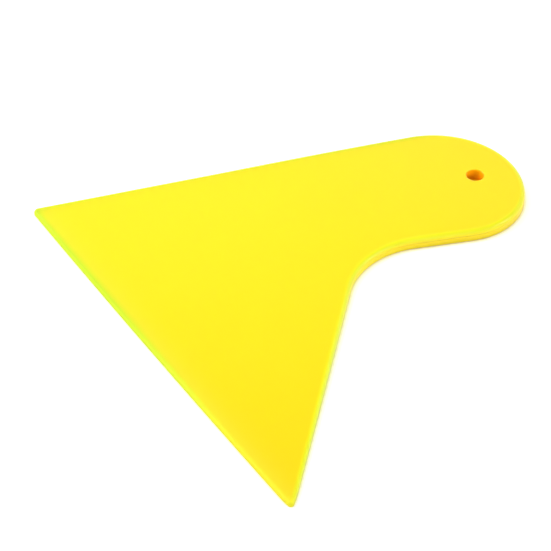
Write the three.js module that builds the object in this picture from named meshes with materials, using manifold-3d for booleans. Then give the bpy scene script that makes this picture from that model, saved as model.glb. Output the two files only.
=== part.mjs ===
// Squeegee applicator: a flat, one-piece moulded plastic tool that presses down vinyl film.
//
// Millimetres, +Z up. The tool lies on its flat underside. Its working edge runs along X at the
// front, its grip points to +Y with a straight spine on the -X side, and the origin is on the
// underside, below the middle of the tool.

import * as THREE from "three";
import { mergeVertices } from "three/addons/utils/BufferGeometryUtils.js";
import Module from "manifold-3d";

// Plan outline. It is drawn with the sharp corner of spine and working edge at (0, 0).
const EDGE_LENGTH = 155; // working edge, sharp corner to sharp corner
const EDGE_CROWN = 0.5; // how far the working edge bows forward at its middle
const SPINE_ANGLE = 73.7; // between the working edge and the spine, degrees
const SPINE_LENGTH = 128; // sharp corner to the start of the grip's round end
const BACK_ANGLE = 43.8; // between the working edge and the back edge, degrees
const SPINE_CORNER_RADIUS = 1.6;
const BACK_CORNER_RADIUS = 1;
const EASE_RADIUS = 50; // wide arcs by which both sides of the back corner run into it
const EASE_TURN = 6; // degrees of each of them

// The grip's end is an arc that starts on the spine and a tighter one that runs into its side.
const END_RADIUS = 28.2;
const END_SWEEP = 113.5; // degrees of the wide arc
const SIDE_RADIUS = 22.6;
const SIDE_LEAN = 20.6; // the grip's side leans this far from -Y towards -X, degrees
const THROAT_RADIUS = 27; // hollow curve between the grip's side and the back edge

// Section.
const EDGE_THICKNESS = 1.6; // at the working edge
const GRIP_THICKNESS = 4;
const TAPER_END = 98; // where the blade's taper would meet the grip's level
const TAPER_BLEND = 30; // half length of the curve that joins taper and grip
const BLEND_STEPS = 6;
const TOP_RADIUS = 1.5; // rounding of the upper rim
const TOP_SHARE = 0.5; // the most that the upper rim's rounding takes of the thickness
const BOTTOM_SHARE = 0.08; // radius of the lower rim, as a share of the thickness
const RIM_STEPS = 3;

// Hanging hole in the grip's round end.
const HOLE_CENTRE = new THREE.Vector2(64.8, 128.6);
const HOLE_RADIUS = 2.88;
const HOLE_RIM_RADIUS = 0.2;
const HOLE_SIDES = 40;
const CUT_OVERRUN = 1; // how far the hole's cutter passes both faces

const ARC_STEP = 5; // degrees between two points of an arc
const CROWN_STEPS = 14;
const TOLERANCE = 1e-6;

const toRadians = THREE.MathUtils.degToRad;
const heading = (degrees) =>
  new THREE.Vector2(Math.cos(toRadians(degrees)), Math.sin(toRadians(degrees)));

/** Points of an arc that starts at start, runs along a heading and turns by turn degrees, + left. */
function turnArc(start, startHeading, radius, turn) {
  const side = Math.sign(turn);
  const centre = start.clone().addScaledVector(heading(startHeading + 90 * side), radius);
  const steps = Math.ceil(Math.abs(turn) / ARC_STEP);
  const points = [];
  for (let i = 0; i <= steps; i++) {
    const outward = startHeading - 90 * side + (turn * i) / steps;
    points.push(centre.clone().addScaledVector(heading(outward), radius));
  }
  return points;
}

/** Rounds a sharp corner, which the outline enters on one heading and leaves on another. */
function roundCorner(corner, headingIn, turn, radius) {
  const cutBack = radius * Math.tan(toRadians(turn / 2));
  const start = corner.clone().addScaledVector(heading(headingIn), -cutBack);
  return turnArc(start, headingIn, radius, turn);
}

/** Rounds a sharp corner with a tight arc that runs into both sides through wide ones. */
function easedCorner(corner, headingIn, turn, radius) {
  const half = toRadians(turn / 2);
  const ease = toRadians(EASE_TURN);
  const wider = EASE_RADIUS - radius;
  const depth = (EASE_RADIUS - wider * Math.cos(ease)) / Math.cos(half);
  const cutBack = depth * Math.sin(half) + wider * Math.sin(ease);
  const start = corner.clone().addScaledVector(heading(headingIn), -cutBack);
  const before = turnArc(start, headingIn, EASE_RADIUS, EASE_TURN);
  const tip = turnArc(before.at(-1), headingIn + EASE_TURN, radius, turn - 2 * EASE_TURN);
  const after = turnArc(tip.at(-1), headingIn + turn - EASE_TURN, EASE_RADIUS, EASE_TURN);
  return [...before, ...tip.slice(1), ...after.slice(1)];
}

/** The working edge's points between two that lie on its line. It bows forward between them. */
function crownedEdge(start, end) {
  const points = [];
  for (let i = 1; i < CROWN_STEPS; i++) {
    const share = i / CROWN_STEPS;
    const point = start.clone().lerp(end, share);
    point.y -= 4 * EDGE_CROWN * share * (1 - share);
    points.push(point);
  }
  return points;
}

/** Start of the throat's arc, which touches the grip's side and the back edge. */
function throatStart(sideEnd, sideHeading, backCorner, backHeading) {
  const backNormal = heading(backHeading - 90);
  const sideNormal = heading(sideHeading - 90);
  const along = heading(sideHeading);
  const centreBase = sideEnd.clone().addScaledVector(sideNormal, THROAT_RADIUS);
  const gap = centreBase.sub(backCorner).dot(backNormal) - THROAT_RADIUS;
  return sideEnd.clone().addScaledVector(along, -gap / along.dot(backNormal));
}

/** The whole outline, anticlockwise from the front end of the spine. */
function planOutline() {
  const spineCorner = new THREE.Vector2(0, 0);
  const backCorner = new THREE.Vector2(EDGE_LENGTH, 0);
  const backHeading = 180 - BACK_ANGLE;
  const sideHeading = 90 - SIDE_LEAN;
  const spineHeading = 180 + SPINE_ANGLE;

  const gripStart = spineCorner.clone().addScaledVector(heading(SPINE_ANGLE), SPINE_LENGTH);
  const endArc = turnArc(gripStart, SPINE_ANGLE, END_RADIUS, -END_SWEEP);
  const sideTurn = SPINE_ANGLE - END_SWEEP - (sideHeading - 180);
  const sideArc = turnArc(endArc.at(-1), SPINE_ANGLE - END_SWEEP, SIDE_RADIUS, -sideTurn);
  const throatTop = throatStart(sideArc.at(-1), sideHeading, backCorner, backHeading);
  const throatArc = turnArc(throatTop, sideHeading - 180, THROAT_RADIUS, backHeading - sideHeading);

  const spineTurn = 180 - SPINE_ANGLE;
  const spineRounding = roundCorner(spineCorner, spineHeading, spineTurn, SPINE_CORNER_RADIUS);
  const backRounding = easedCorner(backCorner, 0, backHeading, BACK_CORNER_RADIUS);
  return [
    ...spineRounding,
    ...crownedEdge(spineRounding.at(-1), backRounding[0]),
    ...backRounding,
    ...throatArc.reverse(),
    ...sideArc.reverse(),
    ...endArc.reverse().slice(1),
  ];
}

/** Adds a point wherever the outline crosses one of the stations, which are values of y. */
function addStations(outline, stations) {
  const points = [];
  outline.forEach((point, i) => {
    const next = outline[(i + 1) % outline.length];
    const crossed = stations.filter((y) => (point.y - y) * (next.y - y) < 0);
    crossed.sort((a, b) => Math.abs(a - point.y) - Math.abs(b - point.y));
    points.push({ position: point, station: null });
    for (const y of crossed) {
      const share = (y - point.y) / (next.y - point.y);
      points.push({ position: point.clone().lerp(next, share), station: y });
    }
  });
  return points;
}

/** Thickness of the plate at a distance y from the working edge. */
function thickness(y) {
  const slope = (GRIP_THICKNESS - EDGE_THICKNESS) / TAPER_END;
  const blendStart = TAPER_END - TAPER_BLEND;
  const blendEnd = TAPER_END + TAPER_BLEND;
  if (y <= blendStart) return EDGE_THICKNESS + slope * y;
  if (y >= blendEnd) return GRIP_THICKNESS;
  return GRIP_THICKNESS - (slope * (blendEnd - y) ** 2) / (4 * TAPER_BLEND);
}

/** A ring of points inside the outline. insetAt and heightAt are functions of the place's y. */
function insetRing(points, insetAt, heightAt) {
  return points.map(({ position }, i) => {
    const before = points.at(i - 1).position;
    const after = points[(i + 1) % points.length].position;
    const into = position.clone().sub(before).normalize();
    const out = after.clone().sub(position).normalize();
    const inwards = new THREE.Vector2(-into.y - out.y, into.x + out.x);
    inwards.divideScalar(1 + into.dot(out));
    const { x, y } = position.clone().addScaledVector(inwards, insetAt(position.y));
    return new THREE.Vector3(x, y, heightAt(y));
  });
}

/** The plate's rings, from the underside's border out, up the wall and in to the top's border. */
function plateRings(points) {
  const rings = [];
  const lowerRadius = (y) => BOTTOM_SHARE * thickness(y);
  for (let i = 0; i <= RIM_STEPS; i++) {
    const angle = (Math.PI / 2) * (i / RIM_STEPS);
    const insetAt = (y) => lowerRadius(y) * (1 - Math.sin(angle));
    const heightAt = (y) => lowerRadius(y) * (1 - Math.cos(angle));
    rings.push(insetRing(points, insetAt, heightAt));
  }
  const topRadius = (y) => Math.min(TOP_RADIUS, TOP_SHARE * thickness(y));
  for (let i = 0; i <= RIM_STEPS; i++) {
    const angle = (Math.PI / 2) * (i / RIM_STEPS);
    const insetAt = (y) => topRadius(y) * (1 - Math.cos(angle));
    const heightAt = (y) => thickness(y) - topRadius(y) * (1 - Math.sin(angle));
    rings.push(insetRing(points, insetAt, heightAt));
  }
  return rings;
}

/** Triangles that close a ring, cut into strips that end at the stations. */
function capTriangles(points, ring) {
  const marked = points.map((point, i) => (point.station === null ? -1 : i)).filter((i) => i >= 0);
  const pairs = marked.slice(0, marked.length / 2).map((right, i) => [right, marked.at(-1 - i)]);
  const between = (from, to) => {
    const list = [];
    for (let i = from; i !== to; i = (i + 1) % points.length) list.push(i);
    return [...list, to];
  };
  const strips = pairs.map(([right, left], i) => {
    if (i === 0) return between(left, right);
    const [lastRight, lastLeft] = pairs[i - 1];
    return [...between(lastRight, right), ...between(left, lastLeft)];
  });
  strips.push(between(...pairs.at(-1)));
  return strips.flatMap((strip) => {
    const border = strip.map((i) => new THREE.Vector2(ring[i].x, ring[i].y));
    const faces = THREE.ShapeUtils.triangulateShape(border, []);
    return faces.map((face) => face.map((k) => strip[k]));
  });
}

/** The closed plate, without its hole. */
function plateGeometry() {
  const stations = [];
  for (let i = 0; i <= BLEND_STEPS; i++) {
    stations.push(TAPER_END - TAPER_BLEND + (2 * TAPER_BLEND * i) / BLEND_STEPS);
  }
  const points = addStations(planOutline(), stations);
  const rings = plateRings(points);
  const count = points.length;
  const index = [];
  for (let r = 0; r + 1 < rings.length; r++) {
    const lower = r * count;
    const upper = lower + count;
    for (let i = 0; i < count; i++) {
      const next = (i + 1) % count;
      index.push(lower + i, lower + next, upper + next);
      index.push(lower + i, upper + next, upper + i);
    }
  }
  for (const [a, b, c] of capTriangles(points, rings[0])) index.push(a, c, b);
  const top = (rings.length - 1) * count;
  for (const [a, b, c] of capTriangles(points, rings.at(-1))) index.push(top + a, top + b, top + c);
  const geometry = new THREE.BufferGeometry();
  geometry.setFromPoints(rings.flat());
  geometry.setIndex(index);
  return geometry;
}

/** Cutter for the hanging hole: a bore that flares round into both faces. */
function holeCutter() {
  const profile = [new THREE.Vector2(0, -CUT_OVERRUN)];
  const flare = (faceZ, direction) => {
    const arc = [];
    for (let i = 0; i <= RIM_STEPS; i++) {
      const angle = (Math.PI / 2) * (i / RIM_STEPS);
      const radius = HOLE_RADIUS + HOLE_RIM_RADIUS * (1 - Math.sin(angle));
      const depth = HOLE_RIM_RADIUS * (1 - Math.cos(angle));
      arc.push(new THREE.Vector2(radius, faceZ + direction * depth));
    }
    return arc;
  };
  const wide = HOLE_RADIUS + HOLE_RIM_RADIUS;
  profile.push(new THREE.Vector2(wide, -CUT_OVERRUN));
  profile.push(...flare(0, 1));
  profile.push(...flare(GRIP_THICKNESS, -1).reverse());
  profile.push(new THREE.Vector2(wide, GRIP_THICKNESS + CUT_OVERRUN));
  profile.push(new THREE.Vector2(0, GRIP_THICKNESS + CUT_OVERRUN));
  const geometry = new THREE.LatheGeometry(profile, HOLE_SIDES);
  geometry.rotateX(Math.PI / 2);
  geometry.translate(HOLE_CENTRE.x, HOLE_CENTRE.y, 0);
  return geometry;
}

const wasm = await Module();
wasm.setup();

/** A closed three.js geometry as a solid that can be cut. */
function toSolid(geometry) {
  const bare = geometry.clone();
  bare.deleteAttribute("normal");
  bare.deleteAttribute("uv");
  const merged = mergeVertices(bare, TOLERANCE);
  const mesh = new wasm.Mesh({
    numProp: 3,
    vertProperties: new Float32Array(merged.attributes.position.array),
    triVerts: new Uint32Array(merged.index.array),
  });
  return new wasm.Manifold(mesh);
}

/** The cut solid as a three.js geometry. */
function toGeometry(solid) {
  const mesh = solid.getMesh();
  const geometry = new THREE.BufferGeometry();
  geometry.setAttribute("position", new THREE.BufferAttribute(mesh.vertProperties, 3));
  geometry.setIndex(new THREE.BufferAttribute(mesh.triVerts, 1));
  geometry.computeVertexNormals();
  return geometry;
}

/** The tool: one moulding, with the hanging hole cut through its grip. */
function squeegeeBody() {
  const geometry = toGeometry(toSolid(plateGeometry()).subtract(toSolid(holeCutter())));
  const yellowPlastic = new THREE.MeshStandardMaterial({
    color: 0xfde21e,
    roughness: 0.42,
    metalness: 0,
  });
  const body = new THREE.Mesh(geometry, yellowPlastic);
  body.name = "squeegee_body";
  geometry.computeBoundingBox();
  const middle = geometry.boundingBox.getCenter(new THREE.Vector3());
  body.position.set(-middle.x, -middle.y, 0);
  return body;
}

const squeegee = new THREE.Group();
squeegee.add(squeegeeBody());

export default squeegee;
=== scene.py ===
"""Squeegee applicator: the looks of a one-piece moulded plastic tool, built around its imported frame."""

import math

import bmesh
import bpy
import numpy as np
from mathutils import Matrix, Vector, noise


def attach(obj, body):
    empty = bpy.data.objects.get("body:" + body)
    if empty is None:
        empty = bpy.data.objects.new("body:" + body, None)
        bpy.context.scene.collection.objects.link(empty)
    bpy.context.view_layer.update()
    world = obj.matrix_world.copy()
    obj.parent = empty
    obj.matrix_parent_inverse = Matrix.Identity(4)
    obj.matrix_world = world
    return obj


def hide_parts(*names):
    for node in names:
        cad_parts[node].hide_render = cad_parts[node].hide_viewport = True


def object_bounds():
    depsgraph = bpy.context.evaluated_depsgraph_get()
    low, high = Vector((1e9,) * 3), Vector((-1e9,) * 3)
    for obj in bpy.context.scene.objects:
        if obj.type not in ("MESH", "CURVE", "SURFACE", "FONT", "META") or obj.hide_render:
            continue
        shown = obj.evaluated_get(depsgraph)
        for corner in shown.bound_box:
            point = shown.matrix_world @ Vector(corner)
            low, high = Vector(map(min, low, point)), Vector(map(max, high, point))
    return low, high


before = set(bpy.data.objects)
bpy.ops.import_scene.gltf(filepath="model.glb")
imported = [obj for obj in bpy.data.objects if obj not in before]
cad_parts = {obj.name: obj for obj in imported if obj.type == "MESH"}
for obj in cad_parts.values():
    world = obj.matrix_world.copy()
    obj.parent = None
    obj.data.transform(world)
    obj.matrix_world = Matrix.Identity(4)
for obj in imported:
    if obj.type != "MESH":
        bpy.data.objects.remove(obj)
CAD_LOW, CAD_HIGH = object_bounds()

MM = 0.001
NODE = "squeegee_body"

# Plan outline, with angles in degrees. Its sharp corner of spine and working edge is at (0, 0) until
# the tool is centred.
EDGE_LENGTH = 155 * MM
EDGE_CROWN = 0.5 * MM
SPINE_ANGLE = 73.7
SPINE_LENGTH = 128 * MM
BACK_ANGLE = 43.8
SPINE_CORNER_RADIUS = 1.6 * MM
BACK_CORNER_RADIUS = 1 * MM
EASE_RADIUS = 50 * MM  # of the wide arcs by which both sides of the back corner run into it
EASE_TURN = 6  # how far each of those arcs turns
END_RADIUS = 28.2 * MM
END_SWEEP = 113.5
SIDE_RADIUS = 22.6 * MM
SIDE_LEAN = 20.6
THROAT_RADIUS = 27 * MM

# Section, from the flat underside up.
EDGE_THICKNESS = 1.6 * MM
GRIP_THICKNESS = 4 * MM
TAPER_END = 98 * MM
TAPER_BLEND = 30 * MM
TOP_RADIUS = 1.5 * MM
TOP_SHARE = 0.5  # the most that the upper rim's rounding takes of the thickness
LOWER_SHARE = 0.08  # radius of the lower rim, as a share of the thickness
SEAM_HEIGHT = 0.04  # half height of the mould's parting seam, as a share of the thickness
SEAM_DEPTH = 0.035  # depth of the seam, as a share of the thickness
SUPPORT = 0.12 * MM  # width of the strip that keeps a flat face flat beside a rounded rim
WAVE_HEIGHT = 0.03 * MM  # unevenness of the moulded top
WAVE_LENGTH = 32 * MM

# Hanging hole.
HOLE_CENTRE = Vector((64.8 * MM, 128.6 * MM))
HOLE_RADIUS = 2.88 * MM
HOLE_RIM_RADIUS = 0.2 * MM
CUT_OVERRUN = 1 * MM

# Painted light in the rims: a lemon glow painted into the colour, for light passing through the
# translucent plastic.
# Thin parts glow from this thickness down to that one, and thick parts only above this level of their
# height.
GLOW_THICKNESS = (3.97 * MM, 2.6 * MM)
GLOW_LEVEL = (0.5, 0.85)
THICK_GLOW = 0.7
GLOW_REACH = (1.2 * MM, 0.95 * MM)  # of thin and of thick rims
GLOW_INSET = 0.75 * MM  # how far inside the outline the glow of a thick rim has its middle
BRIGHT_LEVEL = (0.55, 1)  # thin rims are brightest above this level
THICK_LIGHT = 0.55

# Painted light along the working edge, where the rim's painted glow dies out towards the back corner.
FAR_EDGE = (0.5 * EDGE_LENGTH, 0.85 * EDGE_LENGTH)
FAR_EDGE_REACH = 3 * MM
FAR_EDGE_LOSS = 0.6
EDGE_GLOW = 1.15  # at the spine end of the working edge
EDGE_FADE = (0.15 * EDGE_LENGTH, EDGE_LENGTH)  # from where to where along the edge it dies out

# Painted shade low on thick walls, in the seam and low in the bore.
WALL_SHADE_THICKNESS = (3.3 * MM, 3.9 * MM)  # thickness from which the wall gets painted shade low down
WALL_SHADE_LEVEL = (0.1, 0.6)  # the wall gets painted shade below this level of its height
UNDERSIDE = 0.02 * MM  # what lies lower than this isn't wall
SEAM_SHADE = 0.8
SEAM_REACH = 0.5 * MM  # what lies further inside the outline than this isn't seam
BORE_EDGE = 0.02 * MM  # how far outside the bore's own radius its colour begins to change
BORE_SHADE = (2 * MM, 0.4 * MM)  # height below which one side of the bore gets darker
SHADED_SIDE = 195  # heading of that side, in degrees
SHADED_SHARE = (0, 0.8)  # how squarely the bore faces that side where the shade begins and is full

# How finely the mesh is divided.
CORNER_STEPS = (6, 8)  # half of each corner of the working edge
EASE_STEPS = 3
EDGE_STEPS = 50
BACK_STEPS, THROAT_STEPS, SIDE_LINE_STEPS, SIDE_ARC_STEPS = 34, 24, 4, 28
END_STEPS_RIGHT, END_STEPS_LEFT = 8, 14
END_DEGREES_RIGHT, END_DEGREES_LEFT = 20, 32
RIM_STEPS, LOWER_STEPS = 8, 4
HOLE_SIDES, HOLE_STEPS = 96, 6


# ---------------------------------------------------------------------------------------------
# Plan outline: four chains of samples, each a point and the direction that points outwards
# ---------------------------------------------------------------------------------------------


def heading(degrees):
    return Vector((math.cos(math.radians(degrees)), math.sin(math.radians(degrees))))


def arc(centre, radius, first, last, steps):
    """An arc of the anticlockwise outline, from one heading to another, in degrees."""
    side = math.copysign(1, last - first)
    samples = []
    for i in range(steps + 1):
        outward = heading(first + (last - first) * i / steps - 90)
        samples.append((centre + outward * radius * side, outward))
    return samples


def line(start, end, steps):
    along = (end - start).normalized()
    outward = Vector((along.y, -along.x))
    return [(start.lerp(end, i / steps), outward) for i in range(steps + 1)]


def corner_centre(corner, first, last, radius):
    """Centre of the arc that rounds a sharp corner."""
    inward = heading((first + last) / 2 + 90)
    return corner + inward * radius / math.cos(math.radians((last - first) / 2))


def eased_corner(corner, first, last, radius):
    """Centres of the three arcs that round a corner: wide, tight in the middle, and wide."""
    half = math.radians((last - first) / 2)
    wider = EASE_RADIUS - radius
    depth = (EASE_RADIUS - wider * math.cos(math.radians(EASE_TURN))) / math.cos(half)
    tight = corner + heading((first + last) / 2 + 90) * depth
    before = tight + heading(first + EASE_TURN + 90) * wider
    after = tight + heading(last - EASE_TURN + 90) * wider
    return before, tight, after


def working_edge(start, end, steps):
    """The slightly bowed edge between the ends of its corners."""
    length = end.x - start.x
    samples = []
    for i in range(steps + 1):
        share = i / steps
        slope = -4 * EDGE_CROWN * (1 - 2 * share) / length
        point = Vector((start.x + length * share, -4 * EDGE_CROWN * share * (1 - share)))
        samples.append((point, Vector((slope, -1)).normalized()))
    return samples


def chain(*stretches):
    """Joins stretches end to end, without the point that each shares with the one before."""
    joined = list(stretches[0])
    for stretch in stretches[1:]:
        joined += stretch[1:]
    return joined


def outline_chains():
    """Bottom, right, top and left chains, anticlockwise, each from corner to corner."""
    spine_corner = Vector((0, 0))
    back_corner = Vector((EDGE_LENGTH, 0))
    spine_down = 180 + SPINE_ANGLE
    back_up = 180 - BACK_ANGLE
    side_up = 90 - SIDE_LEAN
    arcs_meet = spine_down - END_SWEEP

    grip_start = heading(SPINE_ANGLE) * SPINE_LENGTH
    end_centre = grip_start + heading(SPINE_ANGLE - 90) * END_RADIUS
    side_centre = end_centre + heading(arcs_meet - 90) * (END_RADIUS - SIDE_RADIUS)
    side_normal, back_normal = heading(side_up - 90), heading(back_up - 90)
    reach = [
        side_centre.dot(side_normal) + SIDE_RADIUS + THROAT_RADIUS,
        back_corner.dot(back_normal) + THROAT_RADIUS,
    ]
    throat_centre = Vector(np.linalg.solve([side_normal, back_normal], reach))

    spine_round = corner_centre(spine_corner, spine_down, 360, SPINE_CORNER_RADIUS)
    before, back_round, after = eased_corner(back_corner, 0, back_up, BACK_CORNER_RADIUS)
    eased = back_up - EASE_TURN
    spine_mid, back_mid = (spine_down + 360) / 2, back_up / 2
    right_end = arcs_meet + END_DEGREES_RIGHT
    left_end = spine_down - END_DEGREES_LEFT

    spine_out = arc(spine_round, SPINE_CORNER_RADIUS, spine_mid, 360, CORNER_STEPS[0])
    spine_in = arc(spine_round, SPINE_CORNER_RADIUS, spine_down, spine_mid, CORNER_STEPS[0])
    ease_in = arc(before, EASE_RADIUS, 0, EASE_TURN, EASE_STEPS)
    back_in = arc(back_round, BACK_CORNER_RADIUS, EASE_TURN, back_mid, CORNER_STEPS[1])
    back_out = arc(back_round, BACK_CORNER_RADIUS, back_mid, eased, CORNER_STEPS[1])
    ease_out = arc(after, EASE_RADIUS, eased, back_up, EASE_STEPS)
    throat = arc(throat_centre, THROAT_RADIUS, back_up, side_up, THROAT_STEPS)
    side = arc(side_centre, SIDE_RADIUS, side_up, arcs_meet, SIDE_ARC_STEPS)
    end_right = arc(end_centre, END_RADIUS, arcs_meet, right_end, END_STEPS_RIGHT)
    end_left = arc(end_centre, END_RADIUS, left_end, spine_down, END_STEPS_LEFT)

    edge = working_edge(spine_out[-1][0], ease_in[0][0], EDGE_STEPS)
    back = line(ease_out[-1][0], throat[0][0], BACK_STEPS)
    side_line = line(throat[-1][0], side[0][0], SIDE_LINE_STEPS)
    bottom = chain(spine_out, edge, ease_in, back_in)
    right = chain(back_out, ease_out, back, throat, side_line, side, end_right)
    top = arc(end_centre, END_RADIUS, right_end, left_end, len(bottom) - 1)
    spine_steps = len(right) - 1 - END_STEPS_LEFT - CORNER_STEPS[0]
    spine = line(end_left[-1][0], spine_in[0][0], spine_steps)
    left = chain(end_left, spine, spine_in)
    return bottom, right, top, left


# ---------------------------------------------------------------------------------------------
# The moulding: rings of vertices up the wall, and a woven patch across each face
# ---------------------------------------------------------------------------------------------


def thickness(y):
    """Thickness of the plate at a distance y from the working edge."""
    slope = (GRIP_THICKNESS - EDGE_THICKNESS) / TAPER_END
    blend_start, blend_end = TAPER_END - TAPER_BLEND, TAPER_END + TAPER_BLEND
    if y <= blend_start:
        return EDGE_THICKNESS + slope * y
    if y >= blend_end:
        return GRIP_THICKNESS
    return GRIP_THICKNESS - slope * (blend_end - y) ** 2 / (4 * TAPER_BLEND)


def top_radius(thick):
    """Radius of the upper rim where the plate is so thick."""
    return min(TOP_RADIUS, TOP_SHARE * thick)


def wall_section(thick):
    """(inset, height) pairs from the underside's border up to the seam below the upper rim."""
    lower = LOWER_SHARE * thick
    pairs = [(lower + SUPPORT, 0)]
    for i in range(LOWER_STEPS + 1):
        angle = math.pi / 2 * i / LOWER_STEPS
        pairs.append((lower * (1 - math.sin(angle)), lower * (1 - math.cos(angle))))
    middle = thick - top_radius(thick) - SEAM_HEIGHT * thick
    for share, depth in ((-2, 0), (-1, 0), (-0.5, 0.6), (0, 1), (0.5, 0.6)):
        pairs.append((depth * SEAM_DEPTH * thick, middle + share * SEAM_HEIGHT * thick))
    return pairs


def top_section(thick):
    """(inset, drop below the top face) pairs round the upper rim."""
    radius = top_radius(thick)
    pairs = []
    for i in range(RIM_STEPS + 1):
        angle = math.pi / 2 * i / RIM_STEPS
        pairs.append((radius * (1 - math.cos(angle)), radius * (1 - math.sin(angle))))
    pairs.append((radius + SUPPORT, 0))
    return pairs


def outline_rings(samples):
    """Rings of points, from the underside's border to the top's border."""
    columns = []
    for point, outward in samples:
        thick = thickness(point.y)
        column = []
        for inset, height in wall_section(thick):
            place = point - outward * inset
            column.append((place.x, place.y, height))
        for inset, drop in top_section(thick):
            place = point - outward * inset
            column.append((place.x, place.y, thickness(place.y) - drop))
        columns.append(column)
    return [list(ring) for ring in zip(*columns)]


def fractions(points):
    """How far along a chain each of its points is, from 0 to 1."""
    steps = np.linalg.norm(np.diff(points, axis=0), axis=1)
    lengths = np.concatenate([[0], np.cumsum(steps)])
    return lengths / lengths[-1]


def along(points, shares, share):
    """The point of a chain at a share of its length."""
    return np.array([np.interp(share, shares, points[:, k]) for k in range(2)])


def weave(ring, across, up):
    """Plan positions of a grid of across x up cells that fills a ring, by blending its four sides."""
    ring = np.array(ring)[:, :2]
    closed = np.vstack([ring, ring[:1]])
    bottom = closed[: across + 1]
    right = closed[across : across + up + 1]
    top = closed[across + up : 2 * across + up + 1][::-1]
    left = closed[2 * across + up :][::-1]
    sides = [(side, fractions(side)) for side in (bottom, right, top, left)]
    (_, on_bottom), (_, on_right), (_, on_top), (_, on_left) = sides
    grid = np.zeros((up + 1, across + 1, 2))
    for j in range(up + 1):
        for i in range(across + 1):
            u0, du = on_bottom[i], on_top[i] - on_bottom[i]
            v0, dv = on_left[j], on_right[j] - on_left[j]
            u = (u0 + v0 * du) / (1 - du * dv)
            v = v0 + u * dv
            low, high = along(bottom, on_bottom, u), along(top, on_top, u)
            near, far = along(left, on_left, v), along(right, on_right, v)
            corners = (1 - v) * ((1 - u) * bottom[0] + u * bottom[-1])
            corners = corners + v * ((1 - u) * top[0] + u * top[-1])
            grid[j, i] = (1 - v) * low + v * high + (1 - u) * near + u * far - corners
    return grid


def ring_index(i, j, across, up):
    """Place in the ring of a grid vertex on the border, or None inside."""
    if j == 0:
        return i
    if i == across:
        return across + j
    if j == up:
        return 2 * across + up - i
    if i == 0:
        return (2 * across + 2 * up - j) % (2 * across + 2 * up)
    return None


def fill_face(mesh, ring, height, upwards, across, up):
    """Covers a ring of bmesh vertices with the woven grid."""
    grid = weave([v.co for v in ring], across, up)
    rows = []
    for j in range(up + 1):
        row = []
        for i in range(across + 1):
            border = ring_index(i, j, across, up)
            x, y = grid[j, i]
            row.append(mesh.verts.new((x, y, height(y))) if border is None else ring[border])
        rows.append(row)
    for j in range(up):
        for i in range(across):
            corners = [rows[j][i], rows[j][i + 1], rows[j + 1][i + 1], rows[j + 1][i]]
            mesh.faces.new(corners if upwards else corners[::-1])


def unevenness(x, y):
    """How far the moulded top stands above its true height."""
    return WAVE_HEIGHT * noise.noise((x / WAVE_LENGTH, y / WAVE_LENGTH, 0.5))


def moulded_plate():
    """The plate without its hole, as a mesh in the outline's own place."""
    bottom, right, top, left = outline_chains()
    across, up = len(bottom) - 1, len(right) - 1
    samples = bottom[:-1] + right[:-1] + top[:-1] + left[:-1]
    mesh = bmesh.new()
    rings = [[mesh.verts.new(place) for place in ring] for ring in outline_rings(samples)]
    count = len(samples)
    for lower, upper in zip(rings, rings[1:]):
        for i in range(count):
            k = (i + 1) % count
            mesh.faces.new((lower[i], lower[k], upper[k], upper[i]))
    fill_face(mesh, rings[0], lambda y: 0, False, across, up)
    fill_face(mesh, rings[-1], thickness, True, across, up)
    for vert in mesh.verts:
        x, y, z = vert.co
        vert.co.z = z * (1 + unevenness(x, y) / thickness(y))
    return mesh


def spun(profile, centre, sides):
    """A closed body of revolution about a vertical axis; the profile runs up from axis to axis."""
    mesh = bmesh.new()
    rings = []
    for radius, z in profile[1:-1]:
        ring = []
        for k in range(sides):
            out = heading(360 * k / sides) * radius + centre
            ring.append(mesh.verts.new((out.x, out.y, z)))
        rings.append(ring)
    for lower, upper in zip(rings, rings[1:]):
        for k in range(sides):
            n = (k + 1) % sides
            mesh.faces.new((lower[k], lower[n], upper[n], upper[k]))
    mesh.faces.new(rings[0][::-1])
    mesh.faces.new(rings[-1])
    return mesh


def hole_cutter():
    """A bore that flares round into both faces."""
    wide = HOLE_RADIUS + HOLE_RIM_RADIUS
    flare = []
    for i in range(HOLE_STEPS + 1):
        angle = math.pi / 2 * i / HOLE_STEPS
        radius = HOLE_RADIUS + HOLE_RIM_RADIUS * (1 - math.sin(angle))
        flare.append((radius, HOLE_RIM_RADIUS * (1 - math.cos(angle))))
    profile = [(0, -CUT_OVERRUN), (wide, -CUT_OVERRUN)]
    profile += flare
    profile += [(radius, GRIP_THICKNESS - depth) for radius, depth in reversed(flare)]
    profile += [(wide, GRIP_THICKNESS + CUT_OVERRUN), (0, GRIP_THICKNESS + CUT_OVERRUN)]
    return spun(profile, HOLE_CENTRE, HOLE_SIDES)


def new_object(name, mesh):
    """Links a bmesh into the scene as an object."""
    data = bpy.data.meshes.new(name)
    mesh.to_mesh(data)
    mesh.free()
    made = bpy.data.objects.new(name, data)
    bpy.context.scene.collection.objects.link(made)
    return made


def cut(body, cutter):
    """Cuts one object out of another and removes the cutter."""
    modifier = body.modifiers.new("cut", "BOOLEAN")
    modifier.operation = "DIFFERENCE"
    modifier.solver = "EXACT"
    modifier.object = cutter
    graph = bpy.context.evaluated_depsgraph_get()
    result = bpy.data.meshes.new_from_object(body.evaluated_get(graph))
    body.modifiers.clear()
    body.data = result
    bpy.data.objects.remove(cutter)


def centre_on_frame(body):
    """Moves the vertices so that the outline sits in the middle of the CAD box."""
    points = np.array([v.co for v in body.data.vertices])
    middle = (points.min(axis=0) + points.max(axis=0)) / 2
    target = (CAD_LOW + CAD_HIGH) / 2
    shift = Vector((target.x - middle[0], target.y - middle[1], 0))
    for vert in body.data.vertices:
        vert.co += shift
    return shift


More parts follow.
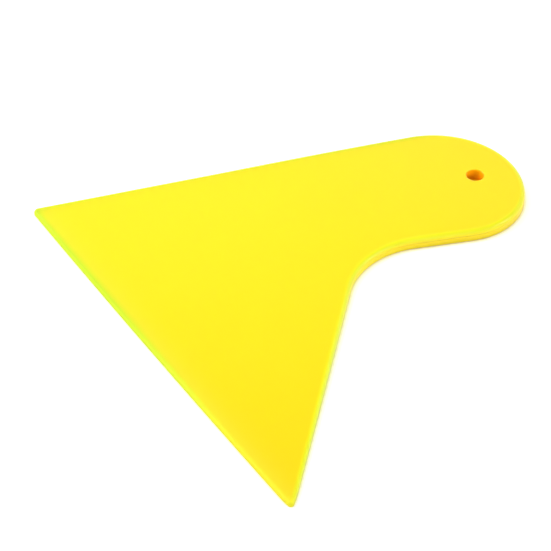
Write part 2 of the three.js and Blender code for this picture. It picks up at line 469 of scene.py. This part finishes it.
def outline_distance(points, shift):
    """How far each point of a mesh is from the outline, seen from above."""
    samples = [point for side in outline_chains() for point, _ in side[:-1]]
    start = np.array(samples) + np.array(shift)[:2]
    run = np.roll(start, -1, axis=0) - start
    gap = points[:, None, :2] - start[None]
    share = np.clip((gap * run[None]).sum(axis=2) / (run**2).sum(axis=1), 0, 1)
    miss = gap - share[..., None] * run[None]
    return np.sqrt((miss**2).sum(axis=2)).min(axis=1)


def smooth_step(low, high, value):
    share = np.clip((value - low) / (high - low), 0, 1)
    return share * share * (3 - 2 * share)


def store(body, name, values):
    attribute = body.data.attributes.new(name, "FLOAT", "POINT")
    attribute.data.foreach_set("value", values.astype(np.float32))


def rim_looks(body, plan, inset, level, thick):
    """Stores where the rims glow, and how brightly."""
    thin = smooth_step(*GLOW_THICKNESS, thick)
    thick_share = 1 - thin
    reach = np.interp(thick_share, (0, 1), GLOW_REACH)
    store(body, "rim_distance", np.abs(inset - GLOW_INSET * thick_share) / reach)
    near_edge = np.exp(-np.maximum(plan[:, 1], 0) / FAR_EDGE_REACH)
    far_edge = smooth_step(*FAR_EDGE, plan[:, 0]) * near_edge
    glow = (THICK_GLOW + (1 - THICK_GLOW) * thin) * np.maximum(thin, smooth_step(*GLOW_LEVEL, level))
    store(body, "rim_glow", glow * (1 - FAR_EDGE_LOSS * far_edge))
    bright = smooth_step(*BRIGHT_LEVEL, level)
    store(body, "rim_light", THICK_LIGHT * thick_share + thin * bright)


def side_looks(body, plan):
    """Stores how far each place is from the working edge and the spine, in millimetres."""
    from_spine = plan @ np.array(heading(SPINE_ANGLE - 90))
    store(body, "edge_distance", np.maximum(plan[:, 1], 0) / MM)
    store(body, "edge_glow", EDGE_GLOW * (1 - smooth_step(*EDGE_FADE, plan[:, 0])))
    store(body, "spine_distance", np.maximum(from_spine, 0) / MM)


def wall_looks(body, height, inset, thick):
    """Stores where painted shade darkens the wall low down and in its seam."""
    wall_shading = smooth_step(*WALL_SHADE_THICKNESS, thick)
    painted_wall_shade = wall_shading * (1 - smooth_step(*WALL_SHADE_LEVEL, height / thick)) * (height > UNDERSIDE)
    radius = np.array([top_radius(t) for t in thick])
    from_seam = (height - thick + radius) / (SEAM_HEIGHT * thick) + 1
    seam = wall_shading * np.exp(-(from_seam**2)) * (inset < SEAM_REACH)
    store(body, "painted_wall_shade", np.maximum(painted_wall_shade, SEAM_SHADE * seam))


def bore_looks(body, plan, height):
    """Stores where the bore is, for its painted amber light, and the side of it that gets painted shade.
    """
    from_hole = plan - np.array(HOLE_CENTRE)
    distance = np.linalg.norm(from_hole, axis=1)
    outside = smooth_step(HOLE_RADIUS + BORE_EDGE, HOLE_RADIUS + HOLE_RIM_RADIUS, distance)
    store(body, "bore", 1 - outside)
    facing = from_hole @ np.array(heading(SHADED_SIDE)) / HOLE_RADIUS
    shade = smooth_step(*BORE_SHADE, height) * smooth_step(*SHADED_SHARE, facing)
    store(body, "bore_shade", shade)


def add_looks(body, shift):
    """Stores what the material needs to know of each place of the moulding."""
    points = np.array([v.co for v in body.data.vertices])
    plan, height = points[:, :2] - np.array(shift)[:2], points[:, 2]
    thick = np.array([thickness(y) for y in plan[:, 1]])
    inset = outline_distance(points, shift)
    rim_looks(body, plan, inset, height / thick, thick)
    side_looks(body, plan)
    wall_looks(body, height, inset, thick)
    bore_looks(body, plan, height)


# ---------------------------------------------------------------------------------------------
# Material
# ---------------------------------------------------------------------------------------------


GOLDEN = (0.845, 0.64, 0.001, 1)
DEEP = (0.83, 0.625, 0.001, 1)
# painted shade, low on thick walls and in the seam
WALL_SHADE_OCHRE = (0.64, 0.49, 0.002, 1)
# painted glow of light through the rims, as a lit and a shaded copy
LIT_RIM_GLOW = (0.77, 0.84, 0.018, 1)
SHADED_RIM_GLOW = (0.57, 0.655, 0.012, 1)
# painted glow of light through the working edge
EDGE_GLOW_LIME = (0.46, 0.61, 0.003, 1)
# painted shade along the spine
SPINE_SHADE_OLIVE = (0.4, 0.555, 0.003, 1)
# painted light bounced round inside the bore, and painted shade low on one side of it
BORE_LIGHT_AMBER = (1, 0.5, 0.004, 1)
BORE_SHADE_BROWN = (0.6, 0.3, 0.002, 1)

# How much of each painted glow or shade shows where it is strongest, and how many millimetres it reaches.
RIM_LEMON = 0.95
EDGE_LEMON = 0.25
EDGE_REACH = 2.2
SPINE_SHADE = 0.6
SPINE_REACH = 3
RIM_POWER, EDGE_POWER, SPINE_POWER = 3, 1, 2  # how steeply each fades

ROUGHNESS = (0.285, 0.325)
EDGE_ROUGHNESS = 0.42  # more at the working edge
CLOUD_SCALE, PATCH_SCALE, GRAIN_SCALE = 38, 120, 5200
GRAIN_STRENGTH = 0.12
GRAIN_HEIGHT = 0.04 * MM
LIGHT_DEPTH = 3 * MM  # how far light spreads inside the plastic


class Graph:
    """Adds nodes to a material and links them by name."""

    def __init__(self, name):
        self.material = bpy.data.materials.new(name)
        self.material.use_nodes = True
        self.tree = self.material.node_tree
        self.shader = self.tree.nodes["Principled BSDF"]

    def add(self, kind, settings=None, **inputs):
        node = self.tree.nodes.new("ShaderNode" + kind)
        for key, value in (settings or {}).items():
            setattr(node, key, value)
        for key, value in inputs.items():
            self.put(node, key.replace("_", " "), value)
        return node

    def read(self, name):
        """A value stored in the mesh."""
        return self.add("Attribute", {"attribute_name": name}).outputs["Fac"]

    def math(self, operation, *values):
        """The result of a sum."""
        node = self.add("Math", {"operation": operation})
        for socket, value in enumerate(values):
            self.put(node, socket, value)
        return node.outputs[0]

    def mix(self, share, first, second):
        """A colour between two others."""
        node = self.add("Mix", {"data_type": "RGBA"})
        self.put(node, 0, share)
        self.put(node, 6, first)
        self.put(node, 7, second)
        return node.outputs[2]

    def put(self, node, socket, value):
        target = node.inputs[socket]
        if isinstance(value, bpy.types.NodeSocket):
            self.tree.links.new(value, target)
        else:
            target.default_value = value


def fade(g, distance, reach, power):
    """exp(-(distance / reach) ** power)."""
    share = g.math("DIVIDE", distance, reach)
    return g.math("POWER", math.e, g.math("MULTIPLY", g.math("POWER", share, power), -1))


def plastic_colour(g, place, along_edge):
    """Golden where it is thick, with painted glow along the rims and the working edge, painted shade low
    on thick walls, in the seam, along the spine and low on one side of the bore, and painted amber light
    in the bore.
    """
    cloud = g.add("TexNoise", Vector=place, Scale=CLOUD_SCALE, Detail=3, Roughness=0.55).outputs["Fac"]
    # painted shade low on thick walls and in the seam
    body = g.mix(g.read("painted_wall_shade"), g.mix(cloud, GOLDEN, DEEP), WALL_SHADE_OCHRE)
    # painted glow of light through the rims
    rim = g.math("MULTIPLY", fade(g, g.read("rim_distance"), 1, RIM_POWER), g.read("rim_glow"))
    rim_glow = g.math("MULTIPLY", rim, RIM_LEMON)
    glow = g.math("MAXIMUM", rim_glow, g.math("MULTIPLY", along_edge, EDGE_LEMON))
    # lit and shaded copies of the painted rim glow
    lemon = g.mix(g.read("rim_light"), SHADED_RIM_GLOW, LIT_RIM_GLOW)
    # painted glow of light through the working edge
    edge = g.math("MULTIPLY", along_edge, g.read("edge_glow"))
    # painted shade along the spine
    along_spine = fade(g, g.read("spine_distance"), SPINE_REACH, SPINE_POWER)
    spine = g.math("MULTIPLY", along_spine, SPINE_SHADE)
    colour = g.mix(spine, g.mix(edge, g.mix(glow, body, lemon), EDGE_GLOW_LIME), SPINE_SHADE_OLIVE)
    # painted amber light in the bore, with painted shade low on one side
    amber = g.mix(g.read("bore_shade"), BORE_LIGHT_AMBER, BORE_SHADE_BROWN)
    return g.mix(g.read("bore"), colour, amber)


def yellow_plastic():
    """Satin, slightly translucent plastic with a fine moulded grain."""
    g = Graph("yellow_plastic")
    shader = g.shader
    place = g.add("TexCoord").outputs["Object"]
    along_edge = fade(g, g.read("edge_distance"), EDGE_REACH, EDGE_POWER)
    g.put(shader, "Base Color", plastic_colour(g, place, along_edge))

    patches = g.add("TexNoise", Vector=place, Scale=PATCH_SCALE, Detail=4).outputs["Fac"]
    rough = g.add("MapRange", Value=patches)
    g.put(rough, "To Min", ROUGHNESS[0])
    g.put(rough, "To Max", ROUGHNESS[1])
    at_edge = g.math("MULTIPLY", along_edge, EDGE_ROUGHNESS)
    g.put(shader, "Roughness", g.math("ADD", rough.outputs[0], at_edge))

    grain = g.add("TexNoise", Vector=place, Scale=GRAIN_SCALE, Detail=2).outputs["Fac"]
    bump = g.add("Bump", Strength=GRAIN_STRENGTH, Distance=GRAIN_HEIGHT, Height=grain)
    g.put(shader, "Normal", bump.outputs[0])

    shader.inputs["Subsurface Weight"].default_value = 0.22
    shader.inputs["Subsurface Radius"].default_value = (1.0, 0.75, 0.12)
    shader.inputs["Subsurface Scale"].default_value = LIGHT_DEPTH
    shader.inputs["Specular IOR Level"].default_value = 0.35
    shader.inputs["IOR"].default_value = 1.49
    return g.material


def squeegee_body():
    """The whole tool, which is one moulding. Returns the place of its hole."""
    body = new_object("squeegee_moulding", moulded_plate())
    cut(body, new_object("hole_cutter", hole_cutter()))
    shift = centre_on_frame(body)
    add_looks(body, shift)
    body.data.materials.clear()
    body.data.materials.append(yellow_plastic())
    body.data.shade_smooth()
    body.data.set_sharp_from_angle(angle=math.radians(50))
    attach(body, "root")
    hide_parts(NODE)
    return HOLE_CENTRE + shift.xy


# ---------------------------------------------------------------------------------------------
# Floor, light and camera
# ---------------------------------------------------------------------------------------------

VIEW_AZIMUTH = 57.55
VIEW_ELEVATION = 41
VIEW_DISTANCE = 660 * MM
VIEW_LENS = 138.86
VIEW_TARGET = Vector((-8.54 * MM, -21.83 * MM, 0))
FLOOR_SIZE = 6
FLOOR_GAP = 0.03 * MM
FLOOR_REACH = 2.5 * MM  # how far from the tool the table's glow is shaded and tinted yellow
FLOOR_COLOUR = (0.62, 0.62, 0.62, 1)
FLOOR_GLOW = 0.55
SHADE_UNDER_HOLE = (0.3, 0.13, 0.004, 1)
UNDER_HOLE_MARGIN = 1 * MM  # how far past the bore the table's patch of painted shade goes
HOLE_SHADE = (0.58, 0.18, 0, 1)
HOLE_GLOW = (1.1, 0.36, 0, 1)
HOLE_GLOW_SHIFT = Vector((0.04 * MM, 2.7 * MM))  # from the middle of the hole to where it glows most
HOLE_GLOW_FADE = (0.6 * MM, 2.6 * MM)
# Light of the table, from where the tool covers it most to where it lies open.
FLOOR_TINTS = (
    (0.4, (0.25, 0.18, 0.02, 1)),
    (0.6, (0.85, 0.78, 0.25, 1)),
    (0.72, (1, 0.98, 0.75, 1)),
    (0.85, (1, 1, 1, 1)),
)

# Light of the dome, from the horizon to straight overhead: sine of the elevation, and brightness.
HORIZON, OVERHEAD = 1, 0.6
DOME = (
    (0.2, 1.15),
    (0.44, 1.15),
    (0.54, 1.65),
    (0.575, 1.65),
    (0.63, 0.05),
    (0.76, 0.01),
    (0.88, 0.35),
)


def distance_from(g, place, spot):
    """How far a place of the table is from a spot on it."""
    node = g.add("VectorMath", {"operation": "DISTANCE"})
    g.put(node, 0, place)
    g.put(node, 1, (spot.x, spot.y, 0))
    return node.outputs["Value"]


def hole_light(g, place, hole):
    """The glow of the table under the hole, brightest to one side of its middle."""
    away = distance_from(g, place, hole + HOLE_GLOW_SHIFT)
    dim = g.add("MapRange", {"interpolation_type": "SMOOTHSTEP"}, Value=away)
    g.put(dim, "From Min", HOLE_GLOW_FADE[0])
    g.put(dim, "From Max", HOLE_GLOW_FADE[1])
    return g.mix(dim.outputs[0], HOLE_GLOW, HOLE_SHADE)


def pale_floor(hole):
    """The table's material: it glows faintly, and the tool shades and tints it where it covers it."""
    g = Graph("pale_floor")
    place = g.add("TexCoord").outputs["Object"]
    inside = g.math("LESS_THAN", distance_from(g, place, hole), HOLE_RADIUS + UNDER_HOLE_MARGIN)
    cover = g.add("AmbientOcclusion", {"samples": 16}, Distance=FLOOR_REACH)
    tint = g.add("ValToRGB", Fac=cover.outputs["AO"])
    stops = tint.color_ramp.elements
    stops[0].position, stops[0].color = FLOOR_TINTS[0]
    stops[1].position, stops[1].color = FLOOR_TINTS[-1]
    for position, colour in FLOOR_TINTS[1:-1]:
        stops.new(position).color = colour
    light = g.mix(inside, tint.outputs["Color"], hole_light(g, place, hole))
    # painted shade: a dark amber patch of the table under the hole
    g.put(g.shader, "Base Color", g.mix(inside, FLOOR_COLOUR, SHADE_UNDER_HOLE))
    g.put(g.shader, "Emission Color", light)
    g.shader.inputs["Emission Strength"].default_value = FLOOR_GLOW
    g.shader.inputs["Roughness"].default_value = 0.9
    g.shader.inputs["Specular IOR Level"].default_value = 0.1
    return g.material


def floor(hole):
    """A pale table under the tool."""
    mesh = bmesh.new()
    bmesh.ops.create_grid(mesh, x_segments=1, y_segments=1, size=FLOOR_SIZE / 2)
    made = new_object("floor", mesh)
    made.location.z = CAD_LOW.z - FLOOR_GAP
    made.data.materials.append(pale_floor(hole))


def softbox(name, azimuth, elevation, distance, size, power, aim=(0, 0), spread=180):
    """A square area light. It points at a place on the table, in millimetres."""
    data = bpy.data.lights.new(name, "AREA")
    data.size = size
    data.energy = power
    data.spread = math.radians(spread)
    made = bpy.data.objects.new(name, data)
    back = view_direction(azimuth, elevation)
    made.location = back * distance + Vector((aim[0] * MM, aim[1] * MM, 0))
    made.rotation_mode = "QUATERNION"
    made.rotation_quaternion = (-back).to_track_quat("-Z", "Y")
    bpy.context.scene.collection.objects.link(made)


def view_direction(azimuth, elevation):
    """From the tool towards a viewer. Azimuth 0 looks along +Y and 90 along -X."""
    a, e = math.radians(azimuth), math.radians(elevation)
    return Vector((math.sin(a) * math.cos(e), -math.cos(a) * math.cos(e), math.sin(e)))


def camera():
    data = bpy.data.cameras.new("camera")
    data.lens = VIEW_LENS
    data.sensor_width = 36
    data.clip_start, data.clip_end = 0.01, 50
    made = bpy.data.objects.new("camera", data)
    back = view_direction(VIEW_AZIMUTH, VIEW_ELEVATION)
    made.location = VIEW_TARGET + back * VIEW_DISTANCE
    made.rotation_mode = "QUATERNION"
    made.rotation_quaternion = (-back).to_track_quat("-Z", "Y")
    bpy.context.scene.collection.objects.link(made)
    bpy.context.scene.camera = made


def studio():
    """A dome of soft light with three softboxes in it."""
    world = bpy.data.worlds.new("studio")
    world.use_nodes = True
    nodes, links = world.node_tree.nodes, world.node_tree.links
    place = nodes.new("ShaderNodeTexCoord")
    split = nodes.new("ShaderNodeSeparateXYZ")
    ramp = nodes.new("ShaderNodeValToRGB")
    links.new(place.outputs["Generated"], split.inputs[0])
    links.new(split.outputs["Z"], ramp.inputs[0])
    links.new(ramp.outputs["Color"], nodes["Background"].inputs["Color"])
    stops = ramp.color_ramp.elements
    stops[0].position, stops[0].color = 0, (HORIZON, HORIZON, HORIZON, 1)
    stops[1].position, stops[1].color = 1, (OVERHEAD, OVERHEAD, OVERHEAD, 1)
    for height, shade in DOME:
        stops.new(height).color = (shade, shade, shade, 1)
    nodes["Background"].inputs["Strength"].default_value = 1
    bpy.context.scene.world = world
    softbox("key", -50, 45, 0.5, 0.3, 0.335, (-60, -20), 50)
    softbox("right", 138, 30, 0.8, 0.4, 0.24, (0, 50), 60)
    softbox("front", 75, 40, 0.9, 0.16, 1.0)
    bpy.context.scene.view_settings.view_transform = "Standard"


camera()
studio()
floor(squeegee_body())
